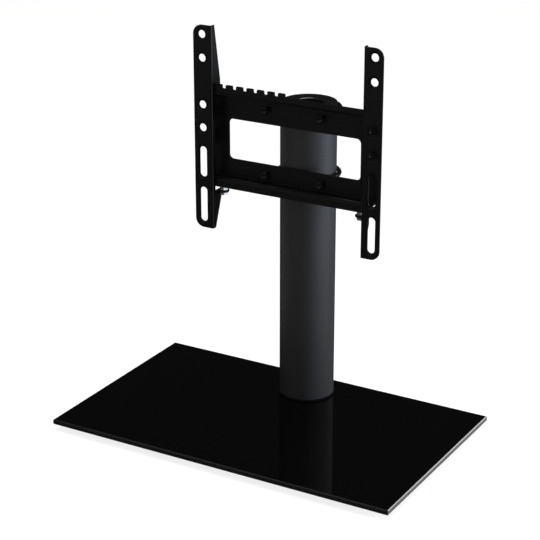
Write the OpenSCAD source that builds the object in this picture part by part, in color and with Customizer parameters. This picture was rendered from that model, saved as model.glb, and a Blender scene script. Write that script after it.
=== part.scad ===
/* [Glass base] */
// Width of the glass plate, left to right
glass_w = 400; // [340:1:480]
// Depth of the glass plate, front to back
glass_d = 240; // [210:1:320]
// Thickness of the glass
glass_t = 6; // [5:0.5:10]
// Width of the ground chamfer along the glass edges
glass_arris = 1; // [0.5:0.1:1.5]
// Distance from the column's axis to the back edge of the glass
column_setback = 40; // [36:1:60]

/* [Underside] */
// Diameter of a rubber foot
foot_d = 18; // [12:1:24]
// Distance from a foot's axis to the glass edges
foot_inset = 36; // [20:1:45]
// Diameter of the load plate under the column
load_plate_d = 68; // [64:1:72]
// Thickness of the load plate beyond the depth of the bolt's head
load_plate_land = 0.5; // [0.2:0.1:2]
// Thickness of the rubber disc above the load plate
load_pad_t = 1.5; // [1:0.5:2]
// Thickness of the bush round the centre bolt
bush_wall = 2.7; // [2:0.1:4]
// Gap between the load plate and the table
ground_gap = 1; // [0.5:0.5:6]

/* [Column] */
// Outer diameter of the column
column_d = 60; // [50:1:70]
// Wall thickness of the column
column_wall = 2; // [1.5:0.1:3]
// Length of the column tube
column_len = 326; // [300:1:420]
// Thickness of the gasket under the column
gasket_t = 2; // [1:0.5:3]
// How far the gasket stands out round the column
gasket_lip = 1; // [0.4:0.1:1.5]
// Height of the threaded plug in the foot of the column
plug_h = 10; // [8:1:16]
// Height of the cap above the tube
cap_h = 4; // [3:0.5:6]
// Depth of the cap's skirt inside the tube
cap_skirt = 10; // [6:0.5:14]
// Thickness of the cap's skirt and of the collar round its cable hole
cap_wall = 2; // [1.5:0.1:2]
// Diameter of the cable hole in the cap
cap_hole_d = 31; // [20:1:34]
// Radius of the cap's outer edge
cap_edge_r = 0.8; // [0.4:0.1:2]
// Width of the flat rim round the cap's dish
cap_rim = 3.5; // [2:0.1:6]
// Depth of the dish between the rim and the cable hole
cap_dish = 1; // [0.5:0.1:1.5]
// Radius of the lip that rolls down into the cable hole
cap_lip_r = 2.2; // [1:0.1:2.5]
// Diameter of the centre bolt's thread
centre_bolt_d = 8; // [6:1:10]
// Diameter of the cable outlet at the back
outlet_d = 30; // [20:1:34]
// Thickness of the cable grommet's lips and wall
grommet_t = 1.5; // [1:0.1:2]
// How far the grommet's flanges reach past its hole
grommet_flange = 2.5; // [1.5:0.1:3]
// Height of the outlet's centre above the foot of the tube
outlet_up = 40; // [34:1:70]

/* [Rail] */
// Length of the rail
rail_w = 196; // [190:1:210]
// Distance from the upper U-bolt up to the upper shelf
shelf_above = 11.7; // [10:0.1:16]
// Distance from the lower U-bolt down to the lower shelf
shelf_below = 7.8; // [7:0.1:12]
// Thickness of the rail sheet
rail_t = 2; // [1.5:0.1:2.5]
// Inner radius of the bends in the rail sheet
bend_in = 1; // [0.5:0.1:1.2]
// How far the lips stand in front of the plate
joggle = 11.7; // [10:0.1:13]
// Height of the upper lip above the shelf's underside
upper_lip_h = 8; // [7:0.5:10]
// Height of the lower lip
lower_lip_h = 10.6; // [9:0.1:12]
// Width of the window
window_w = 156; // [120:1:160]
// Height of the window
window_h = 44; // [30:1:46]
// Corner radius of the window
window_r = 5; // [2:0.5:8]
// How far the window's middle lies below the middle of the U-bolts
window_down = 1.95; // [0:0.05:3]
// Pitch of the index teeth
tooth_pitch = 12.5; // [11:0.5:13]
// Width of a notch between two teeth
notch_w = 4.2; // [4:0.1:6]
// Radius of a notch's bottom corners
notch_r = 1; // [0.5:0.1:1.5]
// Height of the teeth
tooth_h = 4; // [3:0.1:4.2]
// Radius of the teeth's top corners
tooth_r = 1.1; // [0.5:0.1:2]
// Number of notches
notch_count = 8; // [4:1:8]

/* [Clamps] */
// Distance from the top of the tube down to the upper U-bolt
clamp_down = 2.5; // [2.5:0.1:150]
// Distance between the two U-bolts
bolt_row_gap = 70.5; // [66:0.5:76]
// Diameter of the U-bolt rod
u_rod_d = 5; // [4:0.5:6]
// How far the U-bolt ends stand out of the rail plate
u_end_out = 9.6; // [7:0.1:11]
// Thickness of the washers under the clamp nuts
washer_t = 1; // [0.8:0.1:1.5]

/* [Arms] */
// Distance between the two rows of holes
hole_gap = 200; // [190:1:206]
// Width of an arm's face
arm_w = 22; // [20:0.5:24]
// Distance from the holes to the outer edge of an arm
hole_edge = 10; // [8:0.5:11]
// Thickness of the arm sheet
arm_t = 1.5; // [1.2:0.1:1.8]
// Diameter of the round holes
hole_d = 8.5; // [6:0.1:9]
// Width of the dished rim round each hole and slot
dish_w = 2.8; // [1.5:0.1:3]
// Depth of the dished rims
dish_depth = 0.9; // [0.5:0.1:1]
// Distance from the top of an arm down to its first hole
first_hole_down = 10; // [8:0.5:12]
// Distance from the upper lip up to the first hole
first_hole_up = 56; // [45:1:65]
// Distance from the last slot's middle down to the foot of an arm
last_slot_up = 26; // [22:1:40]
// Distance from the rail plate's front to the arm's front
face_ahead = 17.7; // [16:0.1:20]
// Corner radius of an arm's face
arm_corner_r = 10; // [4:0.5:12]
// Outer radius of the bend between an arm's face and its web
arm_bend = 2.2; // [2:0.1:4]
// Depth of the web at the top of an arm
web_top_d = 6.6; // [4:0.1:9]
// Depth of the web at the foot of an arm
web_foot_d = 5.8; // [4:0.1:9]
// Height of the hook above the upper lip
hook_h = 6; // [4.5:0.5:10]
// Distance from the web to the middle of its notch
web_off = -0.7; // [-0.9:0.05:1.5]

/* [Lock screws] */
// Diameter of the lock screw's thread
lock_d = 5; // [4:0.5:5]
// Length of the lock screw's shank
lock_len = 10; // [9:0.5:11]
// Radius of the tab's end
tab_r = 6; // [5:0.5:7]
// Distance from the lower lip down to the tab
tab_down = 4.6; // [4.6:0.1:8]
// Height of the web's shoulder below the tab
tab_root = 10; // [6:0.5:16]
// Distance from the rail plate's front to the lock screw
lock_ahead = 5.2; // [5:0.1:5.5]

/* [Hidden] */
$fn = 64;
fit = 0.05;
gap = 0.3;
eps = 0.01;

bolt_r = centre_bolt_d / 2;
bolt_head_r = centre_bolt_d;
bolt_head_h = bolt_head_r - bolt_r;
load_plate_t = bolt_head_h + load_plate_land;
load_plate_z = ground_gap;
foot_h = ground_gap + load_plate_t + load_pad_t;

glass_hole_r = bolt_r + gap + bush_wall;
glass_z = foot_h;
glass_top = glass_z + glass_t;
column_y = glass_d / 2 - column_setback;
column_r = column_d / 2;
bore_r = column_r - column_wall;
tube_z = glass_top + gasket_t;
tube_top = tube_z + column_len;
thread_out = 2;
bolt_top = tube_z + plug_h + thread_out;

upper_row = tube_top - clamp_down;
lower_row = upper_row - bolt_row_gap;
bolt_rows = [lower_row, upper_row];
u_rod_r = u_rod_d / 2;
u_bend_r = column_r + gap + u_rod_r;
nut_af = 1.6 * u_rod_d;
nut_h = 0.8 * u_rod_d;
washer_r = u_rod_d;

bend_out = bend_in + rail_t;
plate_back = -column_r - gap;
plate_front = plate_back - rail_t;
lip_front = plate_front - joggle;
lip_back = lip_front + rail_t;
shelf_up = upper_row + shelf_above;
shelf_low = lower_row - shelf_below;
lip_top = shelf_up + upper_lip_h;
lip_bottom = shelf_low - lower_lip_h;
window_z = (upper_row + lower_row) / 2 - window_down;

hole_drops = [0, 25, 75, 100];
slots = [[137.5, 25], [185, 30]];
arm_in = hole_gap / 2 + hole_edge - arm_w;
face_front = plate_front - face_ahead;
face_back = face_front + arm_t;
hole_z = lip_top + first_hole_up;
arm_top = hole_z + first_hole_down;
arm_bottom = hole_z - slots[1][0] - last_slot_up;
arm_h = arm_top - arm_bottom;
lip_clear = 0.5;
seat_gap = 0.15;
web_strip = lip_front - lip_clear;
finger_front = lip_back + lip_clear;
web_deep = plate_front - lip_clear;
hook_z = shelf_up + rail_t + 2 * lip_clear;
notch_x0 = -(arm_in + arm_t / 2) + web_off;

tab_top = lip_bottom - tab_down;
lock_x = arm_in - tab_r;
lock_y = plate_front - lock_ahead;
lock_r = lock_d / 2;
lock_af = 1.6 * lock_d;
lock_nut_h = 0.8 * lock_d;
lock_washer_t = 1;
lock_head_h = 0.7 * lock_d;
lock_seat = tab_top - arm_t - lock_washer_t;

// Points of an arc in the plane, from angle a0 to a1
function arc(x, y, r, a0, a1, steps = 6) =
    [for (i = [0:steps]) let (a = a0 + (a1 - a0) * i / steps) [x + r * cos(a), y + r * sin(a)]];

// Moves its children to the column's axis
module at_column(z = 0) {
    translate([0, column_y, z]) children();
}

// Extrudes a profile drawn as (y, z) along x, centred
module along_x(w) {
    rotate([90, 0, 90]) linear_extrude(w, center = true) children();
}

// Extrudes a profile drawn as (x, z) from y0 back by depth
module along_y(y0, depth) {
    translate([0, y0 + depth, 0]) rotate([90, 0, 0]) linear_extrude(depth) children();
}

module ring(r_out, r_in, h) {
    difference() {
        cylinder(r = r_out, h = h);
        translate([0, 0, -1]) cylinder(r = r_in, h = h + 2);
    }
}

// Rectangle with round corners, made of squares and circles
module round_rect(w, h, r) {
    square([w - 2 * r, h], center = true);
    square([w, h - 2 * r], center = true);
    for (x = [-1, 1], y = [-1, 1])
        translate([x * (w / 2 - r), y * (h / 2 - r)]) circle(r);
}

// Slot with round ends, upright
module slot(w, run) {
    square([w, run], center = true);
    for (s = [-1, 1]) translate([0, s * run / 2]) circle(d = w);
}

module hex_nut(af, h, r_thread) {
    difference() {
        intersection() {
            cylinder(d = af / cos(30), h = h, $fn = 6);
            nut_chamfer(af, h);
        }
        translate([0, 0, -1]) cylinder(r = r_thread, h = h + 2);
    }
}

// Double cone that takes off a nut's corners
module nut_chamfer(af, h) {
    r = 0.48 * af;
    grow = 0.15 * af;
    rise = grow / 2;
    rotate_extrude()
        polygon([[0, 0], [r, 0], [r + grow, rise], [r + grow, h - rise], [r, h], [0, h]]);
}

module glass_base() {
    c = glass_arris;
    color("#0b0b0c") difference() {
        intersection() {
            translate([-glass_w / 2, -glass_d / 2, glass_z]) cube([glass_w, glass_d, glass_t]);
            translate([0, 0, glass_z]) along_x(glass_w + 2) edge_profile(glass_d, c);
            translate([0, 0, glass_z]) rotate([0, 0, 90]) along_x(glass_d + 2) edge_profile(glass_w, c);
        }
        at_column(glass_z - 1) cylinder(r = glass_hole_r, h = glass_t + 2);
    }
}

// Cross-section of the glass with a chamfer on each edge
module edge_profile(w, c) {
    polygon([
        [-w / 2 + c, 0], [w / 2 - c, 0], [w / 2, c], [w / 2, glass_t - c],
        [w / 2 - c, glass_t], [-w / 2 + c, glass_t], [-w / 2, glass_t - c], [-w / 2, c],
    ]);
}

module foot(side, end) {
    x = side * (glass_w / 2 - foot_inset);
    y = end * (glass_d / 2 - foot_inset);
    r = foot_d / 2;
    edge = 1.5;
    taper = 1;
    color("#1a1a1a") translate([x, y, 0]) rotate_extrude() polygon(concat(
        [[0, 0]],
        arc(r - taper - edge, edge, edge, -90, 0),
        [[r, foot_h - taper], [r, foot_h], [0, foot_h]]
    ));
}

module load_plate() {
    r = load_plate_d / 2;
    c = 0.8;
    hole_r = bolt_r + gap;
    color("#2a2a2c") at_column(load_plate_z) difference() {
        rotate_extrude() polygon([[0, 0], [r - c, 0], [r, c], [r, load_plate_t], [0, load_plate_t]]);
        translate([0, 0, -1]) cylinder(r = hole_r, h = load_plate_t + 2);
        translate([0, 0, -eps]) cylinder(r1 = hole_r + bolt_head_h, r2 = hole_r, h = bolt_head_h);
    }
}

module load_pad() {
    color("#151515") at_column(glass_z - load_pad_t) ring(load_plate_d / 2, glass_hole_r + fit, load_pad_t);
}

module hole_bush() {
    color("#d8d8d2") at_column(glass_z - load_pad_t)
        ring(glass_hole_r, bolt_r + gap, glass_t + load_pad_t);
}

module column_gasket() {
    color("#101010") at_column(glass_top) ring(column_r + gasket_lip, glass_hole_r, gasket_t);
}

module column_tube() {
    color("#2a2b2d") at_column(tube_z) difference() {
        ring(column_r, bore_r, column_len);
        translate([0, 0, outlet_up]) rotate([-90, 0, 0]) cylinder(d = outlet_d, h = column_d);
    }
}

module column_plug() {
    color("#6f7276") at_column(tube_z) ring(bore_r, bolt_r + fit, plug_h);
}

module centre_bolt() {
    color("#b8bbc0") at_column(load_plate_z) {
        cylinder(r1 = bolt_head_r, r2 = bolt_r, h = bolt_head_h);
        translate([0, 0, bolt_head_h - eps])
            cylinder(r = bolt_r, h = bolt_top - load_plate_z - bolt_head_h);
    }
}

module column_cap() {
    r = column_r;
    e = cap_edge_r;
    hole_r = cap_hole_d / 2;
    dish_z = cap_h - cap_dish;
    lip_r = min(cap_lip_r, dish_z - fit);
    skirt_r = bore_r - fit;
    low = -cap_skirt;
    color("#222326") at_column(tube_top) rotate_extrude() polygon(concat(
        [[skirt_r, 0], [r, 0]],
        arc(r - e, cap_h - e, e, 0, 90),
        [[r - cap_rim, cap_h]],
        arc(hole_r + lip_r, dish_z - lip_r, lip_r, 90, 180),
        [[hole_r, low], [hole_r + cap_wall, low], [hole_r + cap_wall, 0]],
        [[skirt_r - cap_wall, 0], [skirt_r - cap_wall, low], [skirt_r, low]]
    ));
}

// Rubber ring that grips the tube's wall in a groove, with a flange inside and one outside
module cable_grommet() {
    hole_r = outlet_d / 2;
    flange_r = hole_r + grommet_flange;
    color("#141414") at_column(tube_z + outlet_up) difference() {
        union() {
            grommet_band(hole_r, bore_r, column_r);
            grommet_band(flange_r, column_r, column_r + grommet_t);
            grommet_band(flange_r, bore_r - grommet_t, bore_r);
        }
        rotate([-90, 0, 0]) cylinder(r = hole_r - grommet_t, h = column_d);
    }
}

// Disc of the grommet, curved with the column between two radii
module grommet_band(disc_r, r_in, r_out) {
    intersection() {
        rotate([-90, 0, 0]) cylinder(r = disc_r, h = column_d);
        translate([0, 0, -column_d]) ring(r_out, r_in, 2 * column_d);
    }
}

// Cross-section of the rail as (y, z): lip, shelf, plate, shelf and lip in one bent sheet
module rail_profile() {
    i = bend_in;
    o = bend_out;
    plate_c = plate_front - i;
    lip_c = lip_front + o;
    high_c = shelf_up - i;
    low_c = shelf_low + i;
    polygon(concat(
        [[lip_front, lip_top + tooth_h]],
        arc(lip_c, shelf_up + o, o, 180, 270),
        arc(plate_c, high_c, i, 90, 0),
        arc(plate_c, low_c, i, 0, -90),
        arc(lip_c, shelf_low - o, o, 90, 180),
        [[lip_front, lip_bottom], [lip_back, lip_bottom]],
        arc(lip_c, shelf_low - o, i, 180, 90),
        arc(plate_c, low_c, o, -90, 0),
        arc(plate_c, high_c, o, 0, 90),
        arc(lip_c, shelf_up + o, i, 270, 180),
        [[lip_back, lip_top + tooth_h]]
    ));
}

// One notch in the upper lip, with round bottom corners and rounded tooth tops beside it
module notch() {
    w = notch_w;
    r = notch_r;
    top = tooth_h;
    t = tooth_r;
    translate([-w / 2, r]) square([w, top]);
    translate([-w / 2 + r, 0]) square([w - 2 * r, top]);
    for (s = [-1, 1]) {
        translate([s * (w / 2 - r), r]) circle(r);
        difference() {
            translate([s * w / 2 - (s < 0 ? t : 0), top - t]) square([t, t + 1]);
            translate([s * (w / 2 + t), top - t]) circle(t);
        }
    }
}

module rail_plate() {
    last = notch_x0 + (notch_count - 1) * tooth_pitch;
    through = rail_t + 2;
    color("#161617") at_column() difference() {
        along_x(rail_w) rail_profile();
        along_y(lip_front - 1, through) {
            for (i = [0:notch_count - 1])
                translate([notch_x0 + i * tooth_pitch, lip_top]) notch();
            translate([last, lip_top]) square([rail_w, tooth_h + 1]);
        }
        along_y(plate_front - 1, through) {
            translate([0, window_z]) round_rect(window_w, window_h, window_r);
            for (x = [-1, 1], z = bolt_rows)
                translate([x * u_bend_r, z]) circle(u_rod_r + gap);
        }
    }
}

module u_bolt(z) {
    tip = 0.6;
    reach = u_end_out - plate_front - tip;
    color("#1b1c1e") at_column(z) {
        rotate_extrude(angle = 180) translate([u_bend_r, 0]) circle(u_rod_r);
        for (x = [-1, 1])
            translate([x * u_bend_r, 0, 0]) rotate([90, 0, 0]) {
                cylinder(r = u_rod_r, h = reach);
                translate([0, 0, reach]) cylinder(r1 = u_rod_r, r2 = u_rod_r - tip, h = tip);
            }
    }
}

// Places its children on the four U-bolt ends, pointing forwards from the rail plate
module at_ends(out) {
    for (x = [-1, 1], z = bolt_rows)
        at_column(z) translate([x * u_bend_r, plate_front - out, 0]) rotate([90, 0, 0]) children();
}

module clamp_washers() {
    color("#1b1c1e") at_ends(0) ring(washer_r, u_rod_r + gap, washer_t);
}

module clamp_nuts() {
    color("#1b1c1e") at_ends(washer_t) hex_nut(nut_af, nut_h, u_rod_r + fit);
}

// Outline of an arm seen from the front as (x, z), for the right-hand arm
module arm_front() {
    r = arm_corner_r;
    translate([arm_in, arm_bottom + r]) square([arm_w, arm_h - 2 * r]);
    translate([arm_in, arm_bottom]) square([arm_w - r, arm_h]);
    for (z = [arm_bottom + r, arm_top - r])
        translate([arm_in + arm_w - r, z]) circle(r);
}

// Outline of an arm's web as (y, z), with the hook for the upper lip and the bay for the rail
module arm_side() {
    polygon([
        [face_front, arm_bottom], [face_front + web_foot_d, arm_bottom],
        [web_deep, tab_top - tab_root], [web_deep, tab_top],
        [web_strip, tab_top], [web_strip, lip_top + seat_gap],
        [finger_front, lip_top + seat_gap], [finger_front, hook_z],
        [web_deep, hook_z], [web_deep, lip_top + hook_h],
        [face_front + web_top_d, arm_top], [face_front, arm_top],
    ]);
}

// The right-hand arm, in column coordinates
module arm_shape() {
    intersection() {
        translate([0, 0, arm_bottom]) linear_extrude(arm_h) arm_section();
        along_y(face_front - 1, -face_front) arm_front();
        translate([arm_in + arm_w / 2, 0, 0]) along_x(arm_w + 2) arm_side();
    }
}

// Bent section of an arm as (x, y)
module arm_section() {
    o = arm_bend;
    i = arm_bend - arm_t;
    cx = arm_in + o;
    cy = face_front + o;
    polygon(concat(
        [[arm_in + arm_w, face_front], [arm_in + arm_w, face_back]],
        arc(cx, cy, i, 270, 180),
        [[arm_in + arm_t, 0], [arm_in, 0]],
        arc(cx, cy, o, 180, 270)
    ));
}

// Tab bent inwards from the web, with the lock screw's hole
module lock_tab() {
    reach = arm_in + arm_t - lock_x;
    translate([lock_x, lock_y, tab_top - arm_t]) difference() {
        union() {
            cylinder(r = tab_r, h = arm_t);
            translate([0, -tab_r, 0]) cube([reach, web_deep - lock_y + tab_r, arm_t]);
        }
        translate([0, 0, -1]) cylinder(r = lock_r + gap, h = arm_t + 2);
    }
}

// Mirrors its children to the given side
module on_side(side) {
    mirror([side < 0 ? 1 : 0, 0, 0]) children();
}

// Cone along y for the dished rim of a hole, or of a slot with that run, begun and ended a little outside
module dish(y, drop, run) {
    slope = dish_w / dish_depth;
    r = hole_d / 2;
    r_front = r + dish_w + slope * gap;
    r_back = r - slope * gap;
    h = dish_depth + 2 * gap;
    translate([hole_gap / 2, y - gap, hole_z - drop]) {
        for (end = run > 0 ? [-1, 1] : [0])
            translate([0, 0, end * run / 2]) rotate([-90, 0, 0]) cylinder(r1 = r_front, r2 = r_back, h = h);
        if (run > 0)
            linear_extrude(run, center = true)
                polygon([[-r_front, 0], [r_front, 0], [r_back, h], [-r_back, h]]);
    }
}

// The dished rims of all holes and slots, with their front at y
module dishes(y) {
    for (d = hole_drops) dish(y, d, 0);
    for (s = slots) dish(y, s[0], s[1]);
}

module arm(side) {
    bore = arm_t + dish_depth + 2;
    color("#161617") at_column() on_side(side) difference() {
        union() {
            arm_shape();
            lock_tab();
            dishes(face_back);
        }
        dishes(face_front);
        for (d = hole_drops)
            translate([hole_gap / 2, face_front - 1, hole_z - d]) rotate([-90, 0, 0])
                cylinder(d = hole_d, h = bore);
        for (s = slots)
            along_y(face_front - 1, bore) translate([hole_gap / 2, hole_z - s[0]]) slot(hole_d, s[1]);
    }
}

// Places its children on a lock screw's axis
module at_lock(side, z) {
    at_column() translate([side * lock_x, lock_y, z]) children();
}

module lock_nut(side) {
    color("#b9bcc1") at_lock(side, tab_top) hex_nut(lock_af, lock_nut_h, lock_r + fit);
}

module lock_washer(side) {
    color("#b9bcc1") at_lock(side, lock_seat) ring(lock_d, lock_r + fit, lock_washer_t);
}

// Hexagon-headed screw that stands up through the tab, with its head below the washer
module lock_screw(side) {
    tip = 0.6;
    color("#b9bcc1") at_lock(side, lock_seat) {
        translate([0, 0, -lock_head_h]) intersection() {
            cylinder(d = lock_af / cos(30), h = lock_head_h, $fn = 6);
            nut_chamfer(lock_af, lock_head_h + 2);
        }
        cylinder(r = lock_r, h = lock_len - tip);
        translate([0, 0, lock_len - tip]) cylinder(r1 = lock_r, r2 = lock_r - tip, h = tip);
    }
}

glass_base();
foot(-1, -1);  // foot_front_left
foot(1, -1);  // foot_front_right
foot(-1, 1);  // foot_back_left
foot(1, 1);  // foot_back_right
load_plate();
load_pad();
hole_bush();
column_gasket();
column_tube();
column_plug();
centre_bolt();
column_cap();
cable_grommet();
rail_plate();
u_bolt(bolt_rows[1]);  // u_bolt_upper
u_bolt(bolt_rows[0]);  // u_bolt_lower
clamp_washers();
clamp_nuts();
arm(-1);  // left_arm
lock_nut(-1);  // left_lock_nut
lock_washer(-1);  // left_lock_washer
lock_screw(-1);  // left_lock_screw
arm(1);  // right_arm
lock_nut(1);  // right_lock_nut
lock_washer(1);  // right_lock_washer
lock_screw(1);  // right_lock_screw
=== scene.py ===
import math

import bmesh
import bpy
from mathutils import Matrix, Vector


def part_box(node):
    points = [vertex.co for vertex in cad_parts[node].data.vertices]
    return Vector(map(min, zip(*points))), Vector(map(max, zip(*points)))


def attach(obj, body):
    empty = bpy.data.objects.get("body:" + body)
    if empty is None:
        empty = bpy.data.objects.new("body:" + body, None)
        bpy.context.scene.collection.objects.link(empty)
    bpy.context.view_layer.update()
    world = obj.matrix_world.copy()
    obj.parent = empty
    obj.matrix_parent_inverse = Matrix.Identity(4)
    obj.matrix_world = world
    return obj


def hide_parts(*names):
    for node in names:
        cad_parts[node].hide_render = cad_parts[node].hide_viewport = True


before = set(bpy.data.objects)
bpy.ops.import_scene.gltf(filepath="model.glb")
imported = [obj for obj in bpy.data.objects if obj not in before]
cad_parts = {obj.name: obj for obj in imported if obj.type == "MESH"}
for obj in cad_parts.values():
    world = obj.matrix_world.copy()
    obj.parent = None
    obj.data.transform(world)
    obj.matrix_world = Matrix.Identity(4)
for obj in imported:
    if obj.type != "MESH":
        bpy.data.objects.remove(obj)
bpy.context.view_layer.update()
mm = 0.001
weldGap = 0.0005 * mm  # corners nearer than this are one corner


# Small helpers

def srgb(hexText):
    values = [int(hexText[i:i + 2], 16) / 255 for i in (1, 3, 5)]
    return [v / 12.92 if v <= 0.04045 else ((v + 0.055) / 1.055) ** 2.4 for v in values] + [1]


def addNode(tree, kind, values=None, links=None, **settings):
    node = tree.nodes.new(kind)
    for name, value in settings.items():
        setattr(node, name, value)
    for socket, value in (values or {}).items():
        node.inputs[socket].default_value = value
    for socket, source in (links or {}).items():
        tree.links.new(source, node.inputs[socket])
    return node


def newMaterial(name):
    material = bpy.data.materials.new(name)
    material.use_nodes = True
    material.node_tree.nodes.clear()
    return material, material.node_tree


def newPiece(name, mesh):
    piece = bpy.data.objects.new(name, mesh)
    bpy.context.scene.collection.objects.link(piece)
    return piece


def bmeshToMesh(name, shape):
    mesh = bpy.data.meshes.new(name)
    shape.to_mesh(mesh)
    shape.free()
    return mesh


def bakeModifiers(piece):
    # the evaluated shape becomes the piece's own plain mesh
    depsgraph = bpy.context.evaluated_depsgraph_get()
    mesh = bpy.data.meshes.new_from_object(piece.evaluated_get(depsgraph), depsgraph=depsgraph)
    mesh.name = piece.name
    piece.modifiers.clear()
    piece.data = mesh
    return piece


def handOver(piece, body, slotName, *nodes):
    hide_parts(*nodes)
    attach(piece, body)


# Finishes. Each is a real one, with clouds and grain at a real size in millimetres on Object coordinates.
# Grain under a millimetre is finer than a pixel from the photograph's place: there it only softens highlights

cloudNoise = {"Detail": 3, "Roughness": 0.55}
grainNoise = {"Detail": 2, "Roughness": 0.5}


def coatedFinish(name, look):
    # sprayed or moulded skin: clouded tone, fine relief, gloss that varies a little
    material, tree = newMaterial(name)
    place = addNode(tree, "ShaderNodeTexCoord").outputs["Object"]
    cloud = addNode(
        tree, "ShaderNodeTexNoise", {"Scale": 1000 / look["cloudSize"], **cloudNoise}, {"Vector": place},
    )
    grain = addNode(
        tree, "ShaderNodeTexNoise", {"Scale": 1000 / look["grainSize"], **grainNoise}, {"Vector": place},
    )
    tone = addNode(
        tree, "ShaderNodeMix", {"A": srgb(look["darkTone"]), "B": srgb(look["paleTone"])},
        {"Factor": cloud.outputs["Fac"]}, data_type="RGBA",
    )
    gloss = addNode(
        tree, "ShaderNodeMapRange",
        {"To Min": look["roughness"] - look["roughnessSpread"],
         "To Max": look["roughness"] + look["roughnessSpread"]},
        {"Value": grain.outputs["Fac"]},
    )
    relief = addNode(
        tree, "ShaderNodeBump", {"Strength": look["reliefStrength"], "Distance": look["reliefHeight"] * mm},
        {"Height": grain.outputs["Fac"]},
    )
    shader = addNode(
        tree, "ShaderNodeBsdfPrincipled",
        {"Metallic": look.get("metallic", 0), "IOR": look.get("ior", 1.5),
         "Specular IOR Level": look.get("specularLevel", 0.5)},
        {"Base Color": tone.outputs["Result"], "Roughness": gloss.outputs["Result"],
         "Normal": relief.outputs["Normal"]},
    )
    addNode(tree, "ShaderNodeOutputMaterial", links={"Surface": shader.outputs["BSDF"]})
    return material


finishes = {
    # satin polyester powder coat over steel tube: soft highlight broken up by orange peel
    "column_paint": coatedFinish("satinPowderCoatCharcoal", {
        "darkTone": "#212122", "paleTone": "#252526", "cloudSize": 60, "grainSize": 1.1,
        "roughness": 0.52, "roughnessSpread": 0.03, "reliefStrength": 0.25, "reliefHeight": 0.05,
    }),
    # finer black powder coat over pressed sheet steel: deeper black, with a clearer highlight
    "mount_paint": coatedFinish("satinPowderCoatBlack", {
        "darkTone": "#080808", "paleTone": "#0b0b0b", "cloudSize": 45, "grainSize": 0.8,
        "roughness": 0.34, "roughnessSpread": 0.04, "reliefStrength": 0.3, "reliefHeight": 0.05,
        "specularLevel": 0.28,
    }),
    # moulded rubber: matt, with a fine bloom
    "black_rubber": coatedFinish("mouldedRubberBlack", {
        "darkTone": "#050505", "paleTone": "#0a0a0a", "cloudSize": 12, "grainSize": 0.5,
        "roughness": 0.75, "roughnessSpread": 0.06, "reliefStrength": 0.4, "reliefHeight": 0.05, "ior": 1.52,
        "specularLevel": 0.2,
    }),
    # injection moulded cap from a polished tool: darker and glossier than the paint beside it
    "cap_plastic": coatedFinish("mouldedAbsBlack", {
        "darkTone": "#0c0c0d", "paleTone": "#101011", "cloudSize": 30, "grainSize": 0.4,
        "roughness": 0.17, "roughnessSpread": 0.03, "reliefStrength": 0.15, "reliefHeight": 0.02, "ior": 1.53,
        "specularLevel": 0.75,
    }),
    # black oxide on drawn rod and cold-headed nuts: dark metal with a cloudy oil film
    "black_steel": coatedFinish("blackOxideSteel", {
        "darkTone": "#050506", "paleTone": "#0a0a0b", "cloudSize": 4, "grainSize": 0.6,
        "roughness": 0.3, "roughnessSpread": 0.05, "reliefStrength": 0.2, "reliefHeight": 0.02,
        "specularLevel": 0.45,
    }),
    # bright zinc plating: pale metal, slightly milky and uneven
    "zinc_steel": coatedFinish("brightZincPlate", {
        "darkTone": "#b3b1ad", "paleTone": "#cfcdc9", "cloudSize": 3, "grainSize": 0.5,
        "roughness": 0.2, "roughnessSpread": 0.05, "reliefStrength": 0.12, "reliefHeight": 0.02,
        "metallic": 1,
    }),
    # turned steel left bare: grey, with a dull even shine
    "plain_steel": coatedFinish("turnedSteelBare", {
        "darkTone": "#7b7e82", "paleTone": "#8f9296", "cloudSize": 8, "grainSize": 0.3,
        "roughness": 0.42, "roughnessSpread": 0.07, "reliefStrength": 0.3, "reliefHeight": 0.02,
        "metallic": 1,
    }),
    # black zinc plating on pressed steel: dark grey metal with a soft shine
    "plate_steel": coatedFinish("blackZincPlate", {
        "darkTone": "#202022", "paleTone": "#2c2c2f", "cloudSize": 10, "grainSize": 0.5,
        "roughness": 0.45, "roughnessSpread": 0.08, "reliefStrength": 0.2, "reliefHeight": 0.03,
        "metallic": 0.7,
    }),
    # natural nylon, injection moulded: milky and waxy
    "nylon": coatedFinish("naturalNylon", {
        "darkTone": "#cfcec6", "paleTone": "#dcdbd4", "cloudSize": 6, "grainSize": 0.4,
        "roughness": 0.45, "roughnessSpread": 0.05, "reliefStrength": 0.1, "reliefHeight": 0.02, "ior": 1.53,
    }),
    # float glass painted black on its back: mirror-smooth, nearly no colour of its own
    "black_glass": coatedFinish("backPaintedGlassBlack", {
        "darkTone": "#020202", "paleTone": "#030303", "cloudSize": 70, "grainSize": 40,
        "roughness": 0.03, "roughnessSpread": 0.01, "reliefStrength": 0, "reliefHeight": 0.01, "ior": 1.5,
    }),
    # the arris round the glass, ground and half polished: greyer, and bright where it faces a light
    "glass_arris": coatedFinish("groundGlassArris", {
        "darkTone": "#0b0c0c", "paleTone": "#131414", "cloudSize": 9, "grainSize": 0.4,
        "roughness": 0.16, "roughnessSpread": 0.03, "reliefStrength": 0.04, "reliefHeight": 0.02, "ior": 1.5,
        "specularLevel": 1.0,
    }),
}
print("finishes:", len(finishes))


# Pieces that keep the CAD form: merged into one skin, with the small real radius on each edge

edgeRules = {"flatAngle": 0.1, "bevelAngle": 30, "bevelSteps": 2, "creaseAngle": 32}  # degrees and steps


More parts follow.
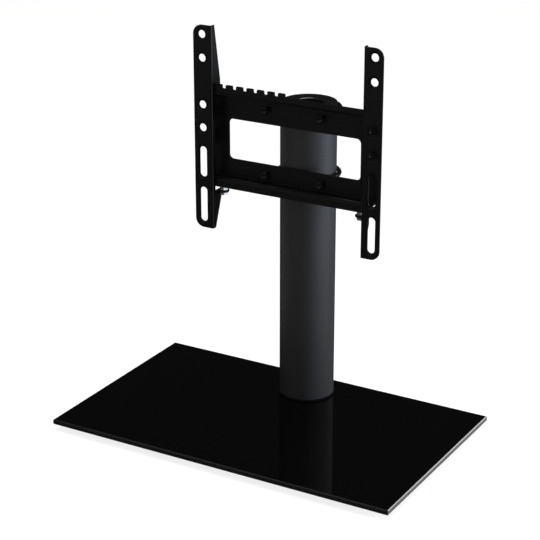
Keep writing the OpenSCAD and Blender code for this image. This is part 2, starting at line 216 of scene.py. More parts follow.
def cleanCopy(node):
    shape = bmesh.new()
    shape.from_mesh(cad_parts[node].data)
    bmesh.ops.remove_doubles(shape, verts=shape.verts, dist=weldGap)
    bmesh.ops.dissolve_limit(
        shape, angle_limit=math.radians(edgeRules["flatAngle"]), use_dissolve_boundaries=False,
        verts=shape.verts, edges=shape.edges,
    )
    bmesh.ops.recalc_face_normals(shape, faces=shape.faces)
    for face in shape.faces:
        face.smooth = True
        face.material_index = 0
    mesh = bmeshToMesh(node + "Skin", shape)
    for attribute in [a for a in mesh.attributes if a.name in ("custom_normal", "UVMap")]:
        mesh.attributes.remove(attribute)
    return mesh


def dressedPiece(name, node, body, slotName, edgeRadius):
    piece = newPiece(name, cleanCopy(node))
    piece.data.materials.append(finishes[slotName])
    softEdge = piece.modifiers.new("edgeRadius", "BEVEL")
    softEdge.width = edgeRadius * mm
    softEdge.segments = edgeRules["bevelSteps"]
    softEdge.limit_method = "ANGLE"
    softEdge.angle_limit = math.radians(edgeRules["bevelAngle"])
    softEdge.harden_normals = True
    bakeModifiers(piece)
    handOver(piece, body, slotName, node)
    return piece


dressedPieces = {
    # piece: CAD node, body, slot, edge radius in mm
    "glassBase": ("glass_base", "base", "black_glass", 0.15),
    "footFrontLeft": ("foot_front_left", "base", "black_rubber", 0.3),
    "footFrontRight": ("foot_front_right", "base", "black_rubber", 0.3),
    "footBackLeft": ("foot_back_left", "base", "black_rubber", 0.3),
    "footBackRight": ("foot_back_right", "base", "black_rubber", 0.3),
    "loadPlate": ("load_plate", "base", "plate_steel", 0.2),
    "loadPad": ("load_pad", "base", "black_rubber", 0.2),
    "holeBush": ("hole_bush", "base", "nylon", 0.15),
    "columnGasket": ("column_gasket", "base", "black_rubber", 0.4),
    "columnTube": ("column_tube", "column", "column_paint", 0.3),
    "columnPlug": ("column_plug", "column", "plain_steel", 0.2),
    "columnCap": ("column_cap", "column", "cap_plastic", 0.25),
    "cableGrommet": ("cable_grommet", "column", "black_rubber", 0.3),
    "railPlate": ("rail_plate", "rail", "mount_paint", 0.25),
    "leftArm": ("left_arm", "left_arm", "mount_paint", 0.2),
    "rightArm": ("right_arm", "right_arm", "mount_paint", 0.2),
}
dressed = {name: dressedPiece(name, *row) for name, row in dressedPieces.items()}

# the edges of the glass are ground, not polished like its faces
groundBelow = 0.95  # upright share of a face's normal
glassMesh = dressed["glassBase"].data
glassMesh.materials.append(finishes["glass_arris"])
for face in glassMesh.polygons:
    if abs(face.normal.z) < groundBelow:
        face.material_index = 1

shading = {"flatFrom": 0.9999, "wallFrom": 0.98, "wallGap": 0.05}  # shares of a normal, and mm off the wall


def evenShading(name, wallNode=None):
    # flat faces face their own way up to their rims, and a round wall straight out,
    # so a shallow dish or the long thin faces round a hole leave no cloud or line
    mesh = dressed[name].data
    axis, radius = Vector(), 0
    if wallNode:
        low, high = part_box(wallNode)
        axis, radius = (low + high) / 2, (high.x - low.x) / 2
    facing = [Vector(n.vector) for n in mesh.corner_normals]
    for face in mesh.polygons:
        if max(abs(c) for c in face.normal) > shading["flatFrom"]:
            for corner in face.loop_indices:
                facing[corner] = face.normal.copy()
            continue
        for corner in face.loop_indices:
            spoke = mesh.vertices[mesh.loops[corner].vertex_index].co - axis
            spoke.z = 0
            onWall = abs(spoke.length - radius) < shading["wallGap"] * mm
            if onWall and face.normal.dot(spoke) > shading["wallFrom"] * spoke.length:
                facing[corner] = spoke.normalized()
    mesh.normals_split_custom_set(facing)


evenShading("columnTube", "column_tube")
for name in ("columnCap", "railPlate", "leftArm", "rightArm"):
    evenShading(name)
print("dressed pieces:", len(dressed))


# Geometry Nodes trees for the fasteners

def newTree(name, sockets):
    tree = bpy.data.node_groups.new(name, "GeometryNodeTree")
    tree.interface.new_socket("Geometry", in_out="INPUT", socket_type="NodeSocketGeometry")
    for label, kind in sockets.items():
        tree.interface.new_socket(label, in_out="INPUT", socket_type=kind)
    tree.interface.new_socket("Geometry", in_out="OUTPUT", socket_type="NodeSocketGeometry")
    return tree, addNode(tree, "NodeGroupInput").outputs


def endTree(tree, geometry, finish):
    real = addNode(tree, "GeometryNodeRealizeInstances", links={"Geometry": geometry})
    painted = addNode(
        tree, "GeometryNodeSetMaterial", links={"Geometry": real.outputs["Geometry"], "Material": finish},
    )
    addNode(tree, "NodeGroupOutput", links={"Geometry": painted.outputs["Geometry"]})
    return tree


def threadedRodTree():
    # round rod along a path, threaded and coned at both ends
    tree, given = newTree("threadedRod", {
        "Rod Radius": "NodeSocketFloat", "Thread Pitch": "NodeSocketFloat", "Thread Depth": "NodeSocketFloat",
        "Thread Length": "NodeSocketFloat", "Tip Length": "NodeSocketFloat", "Sides": "NodeSocketInt",
        "Finish": "NodeSocketMaterial",
    })
    path = addNode(tree, "GeometryNodeMeshToCurve", links={"Mesh": given["Geometry"]})
    along = addNode(tree, "GeometryNodeSplineParameter").outputs["Length"]
    whole = addNode(tree, "GeometryNodeSplineLength").outputs["Length"]
    centre = addNode(tree, "GeometryNodeInputPosition").outputs["Position"]
    rest = addNode(tree, "ShaderNodeMath", links={0: whole, 1: along}, operation="SUBTRACT")
    fromEnd = addNode(tree, "ShaderNodeMath", links={0: along, 1: rest.outputs[0]}, operation="MINIMUM")
    kept = addNode(tree, "GeometryNodeCaptureAttribute", domain="POINT")
    for kind, label in (("VECTOR", "Centre"), ("FLOAT", "Along"), ("FLOAT", "From End")):
        kept.capture_items.new(kind, label)
    tree.links.new(path.outputs["Curve"], kept.inputs["Geometry"])
    for socket, source in (("Centre", centre), ("Along", along), ("From End", fromEnd.outputs[0])):
        tree.links.new(source, kept.inputs[socket])

    ring = addNode(
        tree, "GeometryNodeCurvePrimitiveCircle",
        links={"Resolution": given["Sides"], "Radius": given["Rod Radius"]},
    )
    aroundRing = addNode(tree, "GeometryNodeSplineParameter").outputs["Factor"]
    ringKept = addNode(tree, "GeometryNodeCaptureAttribute", domain="POINT")
    ringKept.capture_items.new("FLOAT", "Round")
    tree.links.new(ring.outputs["Curve"], ringKept.inputs["Geometry"])
    tree.links.new(aroundRing, ringKept.inputs["Round"])
    rod = addNode(
        tree, "GeometryNodeCurveToMesh", {"Fill Caps": True},
        {"Curve": kept.outputs["Geometry"], "Profile Curve": ringKept.outputs["Geometry"]},
    )

    # the groove winds once round the ring for each pitch along the rod, and runs out at the thread's end
    turns = addNode(
        tree, "ShaderNodeMath", links={0: kept.outputs["Along"], 1: given["Thread Pitch"]}, operation="DIVIDE",
    )
    wound = addNode(
        tree, "ShaderNodeMath", links={0: turns.outputs[0], 1: ringKept.outputs["Round"]}, operation="ADD",
    )
    groove = addNode(tree, "ShaderNodeMath", {1: 0.5}, {0: wound.outputs[0]}, operation="PINGPONG")
    twice = addNode(tree, "ShaderNodeMath", {1: 2}, {0: groove.outputs[0]}, operation="MULTIPLY")
    runOut = addNode(
        tree, "ShaderNodeMath", links={0: given["Thread Length"], 1: given["Thread Pitch"]},
        operation="SUBTRACT",
    )
    depth = addNode(
        tree, "ShaderNodeMapRange", {"To Max": 0},
        {"Value": kept.outputs["From End"], "From Min": runOut.outputs[0], "From Max": given["Thread Length"],
         "To Min": given["Thread Depth"]},
    )
    cut = addNode(
        tree, "ShaderNodeMath", links={0: twice.outputs[0], 1: depth.outputs["Result"]}, operation="MULTIPLY",
    )
    tip = addNode(
        tree, "ShaderNodeMapRange", {"From Min": 0, "To Max": 0},
        {"Value": kept.outputs["From End"], "From Max": given["Tip Length"], "To Min": given["Tip Length"]},
    )
    less = addNode(
        tree, "ShaderNodeMath", links={0: cut.outputs[0], 1: tip.outputs["Result"]}, operation="MAXIMUM",
    )
    share = addNode(
        tree, "ShaderNodeMath", links={0: less.outputs[0], 1: given["Rod Radius"]}, operation="DIVIDE",
    )
    scale = addNode(tree, "ShaderNodeMath", {0: 1}, {1: share.outputs[0]}, operation="SUBTRACT")
    spoke = addNode(
        tree, "ShaderNodeVectorMath", links={0: centre, 1: kept.outputs["Centre"]}, operation="SUBTRACT",
    )
    shorter = addNode(
        tree, "ShaderNodeVectorMath", links={"Vector": spoke.outputs[0], "Scale": scale.outputs[0]},
        operation="SCALE",
    )
    place = addNode(
        tree, "ShaderNodeVectorMath", links={0: kept.outputs["Centre"], 1: shorter.outputs[0]}, operation="ADD",
    )
    shaped = addNode(
        tree, "GeometryNodeSetPosition", links={"Geometry": rod.outputs["Mesh"], "Position": place.outputs[0]},
    )
    return endTree(tree, shaped.outputs["Geometry"], given["Finish"])


hexagons = {
    "coneOver": 1,       # mm that the cones reach past both faces
    "coneLean": 2,       # mm out for 1 mm along
    "flatShare": 0.48,   # radius of the round flat on the face, as a share of the width across flats
    "coneSides": 48,
    "drillSides": 32,
    "drillLength": 40,
}


def hexagonTree():
    # hexagon prism with coned corners, bored where it is a nut, one on each point
    tree, given = newTree("hexagonPieces", {
        "Across Flats": "NodeSocketFloat", "Height": "NodeSocketFloat", "Bore Radius": "NodeSocketFloat",
        "Plain Seat": "NodeSocketFloat", "Turn": "NodeSocketVector", "Finish": "NodeSocketMaterial",
    })
    over, lean = hexagons["coneOver"] * mm, hexagons["coneLean"]
    corner = addNode(
        tree, "ShaderNodeMath", {1: 0.5 / math.cos(math.pi / 6)}, {0: given["Across Flats"]},
        operation="MULTIPLY",
    )
    prism = addNode(
        tree, "GeometryNodeMeshCone", {"Vertices": 6},
        {"Radius Top": corner.outputs[0], "Radius Bottom": corner.outputs[0], "Depth": given["Height"]},
    )
    face = addNode(
        tree, "ShaderNodeMath", {1: hexagons["flatShare"]}, {0: given["Across Flats"]}, operation="MULTIPLY",
    )
    small = addNode(tree, "ShaderNodeMath", {1: lean * over}, {0: face.outputs[0]}, operation="SUBTRACT")
    reach = addNode(tree, "ShaderNodeMath", {1: over}, {0: given["Height"]}, operation="ADD")
    large = addNode(
        tree, "ShaderNodeMath", {1: lean}, {0: reach.outputs[0], 2: face.outputs[0]}, operation="MULTIPLY_ADD",
    )
    length = addNode(tree, "ShaderNodeMath", {1: over}, {0: reach.outputs[0]}, operation="ADD")
    nearCone = addNode(
        tree, "GeometryNodeMeshCone", {"Vertices": hexagons["coneSides"]},
        {"Radius Top": large.outputs[0], "Radius Bottom": small.outputs[0], "Depth": length.outputs[0]},
    )
    nearPlace = addNode(
        tree, "GeometryNodeTransform", {"Translation": (0, 0, -over)}, {"Geometry": nearCone.outputs["Mesh"]},
    )
    farCone = addNode(
        tree, "GeometryNodeMeshCone", {"Vertices": hexagons["coneSides"]},
        {"Radius Top": small.outputs[0], "Radius Bottom": large.outputs[0], "Depth": length.outputs[0]},
    )
    lift = addNode(tree, "ShaderNodeMath", {1: over}, {0: given["Plain Seat"]}, operation="SUBTRACT")
    liftVector = addNode(tree, "ShaderNodeCombineXYZ", links={"Z": lift.outputs[0]})
    farPlace = addNode(
        tree, "GeometryNodeTransform",
        links={"Geometry": farCone.outputs["Mesh"], "Translation": liftVector.outputs[0]},
    )
    blank = prism.outputs["Mesh"]
    for cone in (nearPlace, farPlace):
        cut = addNode(tree, "GeometryNodeMeshBoolean", operation="INTERSECT")
        tree.links.new(blank, cut.inputs["Mesh 2"])
        tree.links.new(cone.outputs["Geometry"], cut.inputs["Mesh 2"])
        blank = cut.outputs["Mesh"]
    drill = addNode(
        tree, "GeometryNodeMeshCylinder",
        {"Vertices": hexagons["drillSides"], "Depth": hexagons["drillLength"] * mm},
        {"Radius": given["Bore Radius"]},
    )
    bored = addNode(
        tree, "GeometryNodeMeshBoolean", links={"Mesh 1": blank, "Mesh 2": drill.outputs["Mesh"]},
        operation="DIFFERENCE",
    )
    turn = addNode(tree, "FunctionNodeEulerToRotation", links={"Euler": given["Turn"]})
    copies = addNode(
        tree, "GeometryNodeInstanceOnPoints",
        links={"Points": given["Geometry"], "Instance": bored.outputs["Mesh"],
               "Rotation": turn.outputs["Rotation"]},
    )
    return endTree(tree, copies.outputs["Instances"], given["Finish"])


washerSteps = {"edge": 3, "around": 48}


def washerTree():
    # flat ring with rolled edges, one on each point
    tree, given = newTree("flatWashers", {
        "Outer Radius": "NodeSocketFloat", "Bore Radius": "NodeSocketFloat", "Thickness": "NodeSocketFloat",
        "Edge Radius": "NodeSocketFloat", "Turn": "NodeSocketVector", "Finish": "NodeSocketMaterial",
    })
    radii = {0: given["Outer Radius"], 1: given["Bore Radius"]}
    width = addNode(tree, "ShaderNodeMath", links=radii, operation="SUBTRACT")
    total = addNode(tree, "ShaderNodeMath", links=radii, operation="ADD")
    middle = addNode(tree, "ShaderNodeMath", {1: 0.5}, {0: total.outputs[0]}, operation="MULTIPLY")
    section = addNode(
        tree, "GeometryNodeCurvePrimitiveQuadrilateral",
        links={"Width": width.outputs[0], "Height": given["Thickness"]},
    )
    rolled = addNode(
        tree, "GeometryNodeFilletCurve", {"Count": washerSteps["edge"]},
        {"Curve": section.outputs["Curve"], "Radius": given["Edge Radius"]}, mode="POLY",
    )
    ring = addNode(
        tree, "GeometryNodeCurvePrimitiveCircle", {"Resolution": washerSteps["around"]},
        {"Radius": middle.outputs[0]},
    )
    solid = addNode(
        tree, "GeometryNodeCurveToMesh",
        links={"Curve": ring.outputs["Curve"], "Profile Curve": rolled.outputs["Curve"]},
    )
    turn = addNode(tree, "FunctionNodeEulerToRotation", links={"Euler": given["Turn"]})
    copies = addNode(
        tree, "GeometryNodeInstanceOnPoints",
        links={"Points": given["Geometry"], "Instance": solid.outputs["Mesh"],
               "Rotation": turn.outputs["Rotation"]},
    )
    return endTree(tree, copies.outputs["Instances"], given["Finish"])


trees = {"rod": threadedRodTree(), "hexagon": hexagonTree(), "washer": washerTree()}


def grownPiece(name, points, joined, tree, values):
    # an object whose points or path a tree turns into metal
    mesh = bpy.data.meshes.new(name)
    edges = [(i, i + 1) for i in range(len(points) - 1)] if joined else []
    mesh.from_pydata([Vector(p) for p in points], edges, [])
    piece = newPiece(name, mesh)
    modifier = piece.modifiers.new(tree, "NODES")
    modifier.node_group = trees[tree]
    for item in trees[tree].interface.items_tree:
        if item.in_out == "INPUT" and item.name in values:
            modifier[item.identifier] = values[item.name]
    bakeModifiers(piece)
    shape = bmesh.new()
    shape.from_mesh(piece.data)
    bmesh.ops.remove_doubles(shape, verts=shape.verts, dist=weldGap)
    bmesh.ops.recalc_face_normals(shape, faces=shape.faces)
    for face in shape.faces:
        face.smooth = True
    shape.to_mesh(piece.data)
    shape.free()
    piece.data.set_sharp_from_angle(angle=math.radians(edgeRules["creaseAngle"]))
    return piece


def joinPieces(name, parts):
    shape = bmesh.new()
    for part in parts:
        shape.from_mesh(part.data)
    mesh = bmeshToMesh(name, shape)
    mesh.materials.append(parts[0].data.materials[0])
    for part in parts:
        bpy.data.objects.remove(part)
    return newPiece(name, mesh)


def rodValues(radius, bolt, slotName):
    return {
        "Rod Radius": radius, "Thread Pitch": bolt["threadPitch"] * mm,
        "Thread Depth": bolt["threadDepth"] * mm, "Thread Length": bolt["threadLength"] * mm,
        "Tip Length": bolt["tip"] * mm, "Sides": bolt["sides"], "Finish": finishes[slotName],
    }


def straightShank(name, low, high, bolt):
    # threaded rod up the middle of a screw's box, from inside its head to its tip
    x, y = (low.x + high.x) / 2, (low.y + high.y) / 2
    step = bolt["threadPitch"] * mm / bolt["stepsPerTurn"]
    start = low.z + bolt["shankFrom"] * mm
    points = [(x, y, high.z - i * step) for i in range(int((high.z - start) / step) + 1)]
    return grownPiece(name, points, True, "rod", rodValues(bolt["threadDiameter"] * mm / 2, bolt, "zinc_steel"))


# Fasteners, sizes in millimetres. Their places come from the boxes of the CAD nodes

uBolts = {
    "threadPitch": 0.8,      # M5 coarse
    "threadDepth": 0.45,
    "threadLength": 20,
    "tip": 0.6,
    "sides": 20,
    "stepsPerTurn": 6,
    "bendSteps": 44,
    "plainStep": 3,          # spacing of the path's points past the thread
}


def uBoltPath(node):
    low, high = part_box(node)
    radius = (high.z - low.z) / 2
    bend = high.x - radius
    axisY = high.y - bend - radius
    row = (high.z + low.z) / 2
    step = uBolts["threadPitch"] * mm / uBolts["stepsPerTurn"]
    fine = int(uBolts["threadLength"] * mm / step) + 1
    leg = [low.y + i * step for i in range(fine)]
    while axisY - leg[-1] > (uBolts["plainStep"] + 1) * mm:
        leg.append(leg[-1] + uBolts["plainStep"] * mm)
    turns = [math.pi * i / uBolts["bendSteps"] for i in range(uBolts["bendSteps"] + 1)]
    path = [(bend, y, row) for y in leg]
    path += [(bend * math.cos(a), axisY + bend * math.sin(a), row) for a in turns]
    path += [(-bend, y, row) for y in reversed(leg)]
    return path, radius, bend, row


rows = []
for name, node in (("uBoltUpper", "u_bolt_upper"), ("uBoltLower", "u_bolt_lower")):
    path, rodRadius, bendRadius, rowHeight = uBoltPath(node)
    rows.append(rowHeight)
    bolt = grownPiece(name, path, True, "rod", rodValues(rodRadius, uBolts, "black_steel"))
    handOver(bolt, "rail", "black_steel", node)

clamps = {"acrossFlats": 8, "washerRadius": 5, "washerBore": 2.8, "nutBore": 2.55, "edge": 0.15}
facingForward = (math.radians(90), 0, 0)
low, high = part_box("clamp_nuts")
nutSpots = [(x, high.y, z) for x in (-bendRadius, bendRadius) for z in rows]
nuts = grownPiece("clampNuts", nutSpots, False, "hexagon", {
    "Across Flats": clamps["acrossFlats"] * mm, "Height": high.y - low.y, "Bore Radius": clamps["nutBore"] * mm,
    "Plain Seat": 0.0, "Turn": facingForward, "Finish": finishes["black_steel"],
})
handOver(nuts, "rail", "black_steel", "clamp_nuts")
low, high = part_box("clamp_washers")
washerSpots = [(x, (low.y + high.y) / 2, z) for x in (-bendRadius, bendRadius) for z in rows]
washers = grownPiece("clampWashers", washerSpots, False, "washer", {
    "Outer Radius": clamps["washerRadius"] * mm, "Bore Radius": clamps["washerBore"] * mm,
    "Thickness": high.y - low.y, "Edge Radius": clamps["edge"] * mm, "Turn": facingForward,
    "Finish": finishes["black_steel"],
})
handOver(washers, "rail", "black_steel", "clamp_washers")
print("clamps: U-bolts, nuts and washers")

lockScrews = {
    "acrossFlats": 8, "headHeight": 3.5, "threadDiameter": 5, "threadPitch": 0.8, "threadDepth": 0.45,
    "tip": 0.6, "sides": 24, "stepsPerTurn": 8, "washerRadius": 5, "bore": 2.55, "edge": 0.15,
    "shankFrom": 1.5,        # the shank starts this far up inside the head
    "threadLength": 40,      # longer than the shank, so the thread never runs out
    "headSeat": 2,           # lifts the upper cone off, so the face at the washer stays a full hexagon
}
for side in ("left", "right"):
    low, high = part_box(side + "_lock_screw")
    x, y = (low.x + high.x) / 2, (low.y + high.y) / 2
    shank = straightShank(side + "Shank", low, high, lockScrews)
    head = grownPiece(side + "Head", [(x, y, low.z)], False, "hexagon", {
        "Across Flats": lockScrews["acrossFlats"] * mm, "Height": lockScrews["headHeight"] * mm,
        "Bore Radius": 0.0, "Plain Seat": lockScrews["headSeat"] * mm, "Turn": (0, 0, 0),
        "Finish": finishes["zinc_steel"],
    })
    screw = joinPieces(side + "LockScrew", [shank, head])
    handOver(screw, side + "_screw", "zinc_steel", side + "_lock_screw")

    low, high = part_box(side + "_lock_nut")
    nut = grownPiece(side + "LockNut", [(x, y, low.z)], False, "hexagon", {
        "Across Flats": lockScrews["acrossFlats"] * mm, "Height": high.z - low.z,
        "Bore Radius": lockScrews["bore"] * mm, "Plain Seat": 0.0, "Turn": (0, 0, 0),
        "Finish": finishes["zinc_steel"],
    })
    handOver(nut, side + "_arm", "zinc_steel", side + "_lock_nut")

    low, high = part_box(side + "_lock_washer")
    washer = grownPiece(side + "LockWasher", [(x, y, (low.z + high.z) / 2)], False, "washer", {
        "Outer Radius": lockScrews["washerRadius"] * mm, "Bore Radius": lockScrews["bore"] * mm,
        "Thickness": high.z - low.z, "Edge Radius": lockScrews["edge"] * mm, "Turn": (0, 0, 0),
        "Finish": finishes["zinc_steel"],
    })
    handOver(washer, side + "_washer", "zinc_steel", side + "_lock_washer")
print("lock screws, nuts and washers")

centreBolt = {
    "threadDiameter": 8, "threadPitch": 1.25, "threadDepth": 0.7, "headHeight": 4, "socketFlats": 5,
    "socketDepth": 2.4, "tip": 0.8, "sides": 24, "stepsPerTurn": 8, "headSides": 64,
    "shankFrom": 3,          # the shank starts this far up inside the head
    "threadLength": 60,      # longer than the shank, so the thread never runs out
}


def socketHead(low, high):
    # countersunk head with a hexagon socket, seen from under the base
    x, y = (low.x + high.x) / 2, (low.y + high.y) / 2
    height = centreBolt["headHeight"] * mm
    shape = bmesh.new()
    bmesh.ops.create_cone(
        shape, cap_ends=True, segments=centreBolt["headSides"], radius1=(high.x - low.x) / 2,
        radius2=centreBolt["threadDiameter"] * mm / 2, depth=height,
    )
    bmesh.ops.translate(shape, vec=(x, y, low.z + height / 2), verts=shape.verts)
    head = newPiece("boltHead", bmeshToMesh("boltHead", shape))
    corner = centreBolt["socketFlats"] * mm / math.cos(math.pi / 6) / 2
    depth = centreBolt["socketDepth"] * mm * 2  # half of the key stands out under the head
    shape = bmesh.new()
    bmesh.ops.create_cone(shape, cap_ends=True, segments=6, radius1=corner, radius2=corner, depth=depth)
    bmesh.ops.translate(shape, vec=(x, y, low.z), verts=shape.verts)
    key = newPiece("socketKey", bmeshToMesh("socketKey", shape))
    socket = head.modifiers.new("socket", "BOOLEAN")
    socket.operation = "DIFFERENCE"
    socket.object = key
    bakeModifiers(head)
    bpy.data.objects.remove(key)
    for face in head.data.polygons:
        face.use_smooth = True
    head.data.set_sharp_from_angle(angle=math.radians(edgeRules["creaseAngle"]))
    head.data.materials.append(finishes["zinc_steel"])
    return head


low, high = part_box("centre_bolt")
shank = straightShank("boltShank", low, high, centreBolt)
bolt = joinPieces("centreBolt", [shank, socketHead(low, high)])
handOver(bolt, "column", "zinc_steel", "centre_bolt")
print("centre bolt")


# Studio: a pale floor, a white surround, and cards that only reflections see, dark in most directions and
# glowing in a few: painted reflections

studio = {
    # metres, unless a note says otherwise
    "floorSize": 12, "floorTone": "#f2f2f0",
    "floorGlow": 0.75, "floorWhite": 1.1,          # share and strength of the plain white that is only seen
    "cardRadius": 2.6, "cardTop": 2.4, "cardSides": 96,
    "lyingHeight": 0.5, "edgeHeight": 1,           # mm off the floor
    "bandTop": 0.08, "bandFade": 0.3,              # the standing card is bright up to here, then fades
    "farFrom": 0.7, "farTo": 1.8, "farGain": 2.5,  # the lying card's bright part grows brighter outwards
    "edgeReflectionStrip": ((0.2005, -0.15), (0.24, 0.2)),    # front left and back right corner
    "edgeGlow": 0.7,
    "wallCentre": (0, 0, 0), "boardCentre": (0.3, -0.12, 0),
    # share of a turn from the left round by the front, and how bright the card is there
    "wallTones": [
        (0.0, 0.06), (0.04, 0.019), (0.36, 0.019), (0.44, 1.0), (0.5, 2.6), (0.57, 2.6), (0.61, 0.7),
        (0.65, 0.1), (0.79, 0.019), (0.94, 0.06), (1.0, 0.06),
    ],
    "boardTones": [
        (0.0, 0.02), (0.05, 0.03), (0.08, 0.1), (0.12, 0.1), (0.2, 0.06), (0.3, 0.05), (0.36, 0.2),
        (0.42, 0.6), (0.5, 1.3), (0.57, 1.95), (0.64, 1.95), (0.67, 0.9), (0.685, 0.05), (0.79, 0.05),
        (0.945, 0.05), (0.955, 0.6), (0.97, 0.6), (0.985, 0.05), (1.0, 0.02),
    ],
    "ceilingTones": [(0.0, 0.03), (0.05, 0.2), (0.17, 0.2), (0.24, 0.04), (1.0, 0.03)],
    "reflectionTint": "#dcecff", "ambient": 0.5,
}


def stagePiece(name, shape, material):
    piece = newPiece(name, bmeshToMesh(name, shape))
    piece.data.materials.append(material)
    return piece


def roundCard(name, height, material):
    shape = bmesh.new()
    bmesh.ops.create_circle(shape, cap_ends=True, segments=studio["cardSides"], radius=studio["cardRadius"])
    bmesh.ops.translate(shape, vec=(0, 0, height), verts=shape.verts)
    return stagePiece(name, shape, material)


def seenRays(tree):
    # 1 where the camera, a reflection or a see-through looks, 0 where light is only being counted
    rays = addNode(tree, "ShaderNodeLightPath")
    seen = addNode(
        tree, "ShaderNodeMath", links={0: rays.outputs["Is Camera Ray"], 1: rays.outputs["Is Glossy Ray"]},
        operation="MAXIMUM",
    )
    shown = addNode(
        tree, "ShaderNodeMath", links={0: seen.outputs[0], 1: rays.outputs["Is Transmission Ray"]},
        operation="MAXIMUM",
    )
    return shown.outputs[0]


def floorMaterial():
    material, tree = newMaterial("paleStudioFloor")
    share = addNode(tree, "ShaderNodeMath", {1: studio["floorGlow"]}, {0: seenRays(tree)}, operation="MULTIPLY")
    paper = addNode(tree, "ShaderNodeBsdfDiffuse", {"Color": srgb(studio["floorTone"])})
    glow = addNode(tree, "ShaderNodeEmission", {"Color": (1, 1, 1, 1), "Strength": studio["floorWhite"]})
    mixed = addNode(
        tree, "ShaderNodeMixShader", links={0: share.outputs[0], 1: paper.outputs[0], 2: glow.outputs[0]},
    )
    addNode(tree, "ShaderNodeOutputMaterial", links={"Surface": mixed.outputs[0]})
    return material


def paintedReflectionMaterial(name, centre, tones, lowOnly=False, farGain=1):
    # a glowing card whose brightness changes with the direction from one point, like boards set round a table:
    # a painted reflection, dark or bright by direction
    material, tree = newMaterial(name)
    place = addNode(tree, "ShaderNodeTexCoord").outputs["Object"]
    around = addNode(tree, "ShaderNodeMapping", {"Location": [-c for c in centre]}, {"Vector": place})
    turn = addNode(tree, "ShaderNodeTexGradient", links={"Vector": around.outputs[0]}, gradient_type="RADIAL")
    tone = addNode(tree, "ShaderNodeFloatCurve", links={"Value": turn.outputs["Fac"]})
    peak = max(t for _, t in tones)
    curve = tone.mapping.curves[0]
    while len(curve.points) < len(tones):
        curve.points.new(0.5, 0.5)
    for point, (share, t) in zip(curve.points, tones):
        point.location = (share, t / peak)
        point.handle_type = "VECTOR"
    tone.mapping.update()
    strength = addNode(tree, "ShaderNodeMath", {1: peak}, {0: tone.outputs[0]}, operation="MULTIPLY")
    tint = addNode(
        tree, "ShaderNodeMix", {"A": (1, 1, 1, 1), "B": srgb(studio["reflectionTint"])},
        {"Factor": tone.outputs[0]}, data_type="RGBA",
    )
    if farGain > 1:
        away = addNode(tree, "ShaderNodeVectorMath", links={0: place}, operation="LENGTH")
        ramp = addNode(
            tree, "ShaderNodeMapRange",
            {"From Min": studio["farFrom"], "From Max": studio["farTo"], "To Min": 0, "To Max": farGain - 1},
            {"Value": away.outputs["Value"]},
        )
        # the bright part grows brighter with distance, the dark part hardly
        gain = addNode(
            tree, "ShaderNodeMath", {2: 1}, {0: ramp.outputs["Result"], 1: tone.outputs[0]},
            operation="MULTIPLY_ADD",
        )
        strength = addNode(
            tree, "ShaderNodeMath", links={0: strength.outputs[0], 1: gain.outputs[0]}, operation="MULTIPLY",
        )
    if lowOnly:
        height = addNode(tree, "ShaderNodeSeparateXYZ", links={"Vector": place})
        low = addNode(
            tree, "ShaderNodeMapRange",
            {"From Min": studio["bandTop"], "From Max": studio["bandTop"] + studio["bandFade"],
             "To Min": 1, "To Max": 0},
            {"Value": height.outputs["Z"]},
        )
        strength = addNode(
            tree, "ShaderNodeMath", links={0: strength.outputs[0], 1: low.outputs["Result"]},
            operation="MULTIPLY",
        )
        strength = addNode(
            tree, "ShaderNodeMath", {1: min(t for _, t in tones)}, {0: strength.outputs[0]},
            operation="MAXIMUM",
        )
    card = addNode(
        tree, "ShaderNodeEmission", links={"Color": tint.outputs["Result"], "Strength": strength.outputs[0]},
    )
    addNode(tree, "ShaderNodeOutputMaterial", links={"Surface": card.outputs[0]})
    return material


shape = bmesh.new()
bmesh.ops.create_grid(shape, x_segments=1, y_segments=1, size=studio["floorSize"] / 2)
stagePiece("studioFloor", shape, floorMaterial())

# the cards are only there for reflections, so they neither light nor shade anything
shape = bmesh.new()
bmesh.ops.create_cone(
    shape, cap_ends=False, segments=studio["cardSides"], radius1=studio["cardRadius"],
    radius2=studio["cardRadius"], depth=studio["cardTop"],
)
bmesh.ops.translate(shape, vec=(0, 0, studio["cardTop"] / 2), verts=shape.verts)
# painted reflections: these cards glow but light nothing, and only reflections see them
wall = stagePiece(
    "standingReflectionCards", shape,
    paintedReflectionMaterial("standingReflectionCards", studio["wallCentre"], studio["wallTones"], lowOnly=True),
)
board = roundCard(
    "lyingReflectionCard", studio["lyingHeight"] * mm,
    paintedReflectionMaterial("lyingReflectionCard", studio["boardCentre"], studio["boardTones"], farGain=studio["farGain"]),
)
ceiling = roundCard(
    "ceilingReflectionCard", studio["cardTop"],
    paintedReflectionMaterial("ceilingReflectionCard", studio["wallCentre"], studio["ceilingTones"]),
)
# a glowing strip on the floor beside the glass, seen only in reflections: a painted reflection that the glass's
# right edge mirrors as its highlight
(left, front), (right, back) = studio["edgeReflectionStrip"]
shape = bmesh.new()
corners = ((left, front), (right, front), (right, back), (left, back))
shape.faces.new([shape.verts.new((x, y, studio["edgeHeight"] * mm)) for x, y in corners])
material, tree = newMaterial("glowingEdgeReflection")
glow = addNode(tree, "ShaderNodeEmission", {"Strength": studio["edgeGlow"]})
addNode(tree, "ShaderNodeOutputMaterial", links={"Surface": glow.outputs[0]})
edgeStrip = stagePiece("edgeReflectionStrip", shape, material)
for card in (wall, board, ceiling, edgeStrip):
    card.visible_camera = False
    card.visible_diffuse = False
    card.visible_shadow = False
    card.visible_transmission = False
    card.visible_volume_scatter = False

world = bpy.data.worlds.new("whiteSurround")
bpy.context.scene.world = world
world.use_nodes = True
world.node_tree.nodes.clear()
tree = world.node_tree
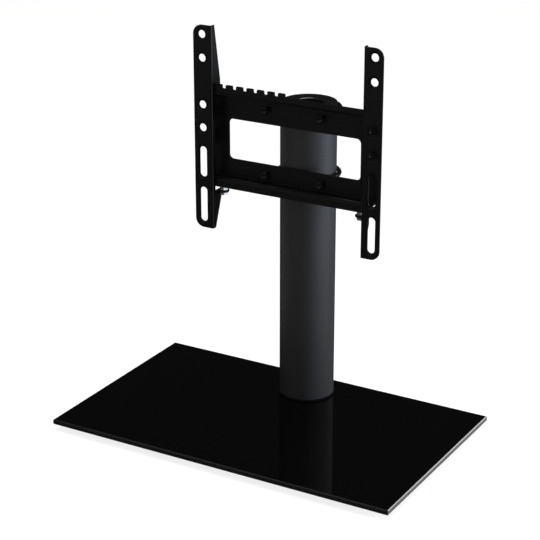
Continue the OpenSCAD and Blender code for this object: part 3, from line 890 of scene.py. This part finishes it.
# the surround is plain white where it is seen, and dimmer where it lights the object
strength = addNode(
    tree, "ShaderNodeMapRange", {"To Min": studio["ambient"], "To Max": 1}, {"Value": seenRays(tree)},
)
sky = addNode(tree, "ShaderNodeBackground", {"Color": (1, 1, 1, 1)}, {"Strength": strength.outputs["Result"]})
addNode(tree, "ShaderNodeOutputWorld", links={"Surface": sky.outputs[0]})

lamps = {
    # place, aim, width, height in metres, watts, colour, what it does
    "overheadBox": ((0.1, -0.1, 2.5), (0, 0, 0.1), 2.2, 1.8, 55, "#fffefa", "lights"),
    "topStrip": ((-0.1, 0.85, 2.2), (0, 0, 0.3), 1.2, 0.5, 16, "#ffffff", "mirrors"),
    "rightBackBox": ((1.12, 1.63, 0.73), (0.2, 0, 0), 0.4, 0.4, 3.0, "#fbfbff", "mirrors"),
    "frontFill": ((-1.0, -2.2, 0.35), (0, 0, 0.25), 0.9, 0.6, 1.6, "#ffffff", "both"),
    "lowRightFill": ((0.75, 0.35, 0.12), (0, 0, 0.1), 0.3, 0.3, 13, "#eef2ff", "lights"),
}
for name, (place, aim, width, height, watts, tint, does) in lamps.items():
    light = bpy.data.lights.new(name, "AREA")
    light.shape = "RECTANGLE"
    light.size, light.size_y = width, height
    light.energy = watts
    light.color = srgb(tint)[:3]
    lamp = bpy.data.objects.new(name, light)
    bpy.context.scene.collection.objects.link(lamp)
    lamp.location = place
    lamp.rotation_euler = (Vector(aim) - Vector(place)).to_track_quat("-Z", "Y").to_euler()
    lamp.visible_camera = False
    lamp.visible_glossy = does != "lights"
    lamp.visible_diffuse = does != "mirrors"
print("studio: floor, cards,", len(lamps), "lamps")

view = {
    "place": (0.83031, -1.43927, 0.82343), "pitchDown": 21.08, "yaw": 30,
    "focalPixels": 1714.8, "framePixels": 540, "sensor": 36, "nearest": 0.05, "farthest": 50,
}
cameraData = bpy.data.cameras.new("photoView")
cameraData.sensor_width = view["sensor"]
cameraData.lens = view["focalPixels"] * view["sensor"] / view["framePixels"]
cameraData.clip_start, cameraData.clip_end = view["nearest"], view["farthest"]
camera = bpy.data.objects.new("photoView", cameraData)
bpy.context.scene.collection.objects.link(camera)
camera.location = view["place"]
camera.rotation_euler = (math.radians(90 - view["pitchDown"]), 0, math.radians(view["yaw"]))
bpy.context.scene.camera = camera
bpy.context.scene.view_settings.view_transform = "Standard"
